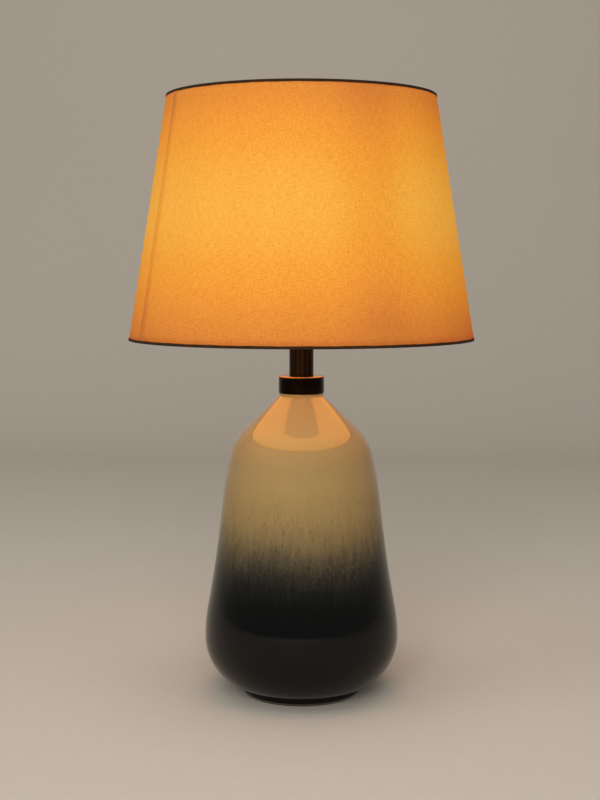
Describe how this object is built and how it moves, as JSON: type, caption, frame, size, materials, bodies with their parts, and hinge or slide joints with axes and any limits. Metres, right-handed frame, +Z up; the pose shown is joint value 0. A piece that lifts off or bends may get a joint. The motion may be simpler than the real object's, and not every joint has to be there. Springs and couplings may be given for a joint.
{
  "type": "table lamp",
  "caption": "Table lamp with a tapered drum shade on a detachable harp, a switched screw-in bulb socket, and a rounded glazed ceramic base that runs from cream to black.",
  "frame": {"origin": "on the table, under the middle of the foot", "axes": "+Z up through the pipe, -Y towards the front, the cord inlet at the back (+Y)"},
  "size_m": [0.3554, 0.3554, 0.6186],
  "materials": {
    "felt": "pressed felt",
    "glaze": "gloss glaze, cream at the shoulder and running down to black olive at the foot",
    "black_plastic": "moulded nylon",
    "zinc_steel": "zinc-plated steel",
    "brass": "plain brass",
    "socket_brass": "bright brass sheet",
    "dark_bronze": "dark bronze finish",
    "brushed_bronze": "dark bronze finish, brushed along its length",
    "cardboard": "fibre board",
    "phenolic": "moulded phenolic",
    "aluminium": "rolled sheet",
    "knob_plastic": "moulded, fluted",
    "frosted_glass": "frosted, lit",
    "black_glass": "black glass",
    "clear_glass": "clear glass",
    "solder": "solder",
    "tungsten": "drawn wire",
    "painted_wire": "white enamel",
    "styrene": "translucent film",
    "linen": "plain linen weave, lit from inside",
    "dark_tape": "folded cotton tape"
  },
  "bodies": {
    "base": {"foot_pad": "felt", "base_body": "glaze", "cord_bushing": "black_plastic", "lamp_pipe": "zinc_steel", "check_washer": "zinc_steel", "lock_washer": "zinc_steel", "bottom_nut": "brass", "neck_collar": "dark_bronze", "tube_register": "zinc_steel", "neck_tube": "brushed_bronze", "tube_cap": "dark_bronze", "harp_saddle": "brass", "saddle_nut": "brass", "socket_cap": "socket_brass", "cap_set_screw": "zinc_steel", "socket_shell": "socket_brass", "shell_liner": "cardboard", "socket_core": "phenolic", "terminal_screws": "brass", "socket_screw_shell": "aluminium", "socket_contact": "brass"},
    "switch": {"switch_spindle": "zinc_steel", "switch_knob": "knob_plastic"},
    "bulb": {"bulb_glass": "frosted_glass", "bulb_cap": "aluminium", "bulb_insulator": "black_glass", "bulb_contact": "solder", "bulb_stem": "clear_glass", "bulb_filament": "tungsten"},
    "harp": {"harp_wire": "brass", "harp_stud": "brass"},
    "sleeve_left": {"harp_sleeve_left": "brass"},
    "sleeve_right": {"harp_sleeve_right": "brass"},
    "shade": {"shade_spider": "painted_wire", "shade_bottom_ring": "painted_wire", "shade_liner": "styrene", "shade_fabric": "linen", "shade_top_trim": "dark_tape", "shade_bottom_trim": "dark_tape"},
    "finial": {"finial": "dark_bronze"}
  },
  "joints": [
    {"name": "switch_turn", "type": "hinge", "parent": "base", "child": "switch", "pos_m": [0, 0, 0.41356], "axis": [0.9063, 0.4226, 0], "continuous": true},
    {"name": "bulb_unscrew", "type": "slide", "parent": "base", "child": "bulb", "axis": [0, 0, 1], "range_m": [0, 0.03]},
    {"name": "harp_lift", "type": "slide", "parent": "base", "child": "harp", "axis": [0, 0, 1], "range_m": [0, 0.04]},
    {"name": "sleeve_left_slide", "type": "slide", "parent": "harp", "child": "sleeve_left", "axis": [0, 0, 1], "range_m": [0, 0.012]},
    {"name": "sleeve_right_slide", "type": "slide", "parent": "harp", "child": "sleeve_right", "axis": [0, 0, 1], "range_m": [0, 0.012]},
    {"name": "shade_turn", "type": "hinge", "parent": "harp", "child": "shade", "pos_m": [0, 0, 0.59766], "axis": [0, 0, 1], "continuous": true},
    {"name": "finial_turn", "type": "hinge", "parent": "harp", "child": "finial", "pos_m": [0, 0, 0.59926], "axis": [0, 0, 1], "continuous": true}
  ]
}
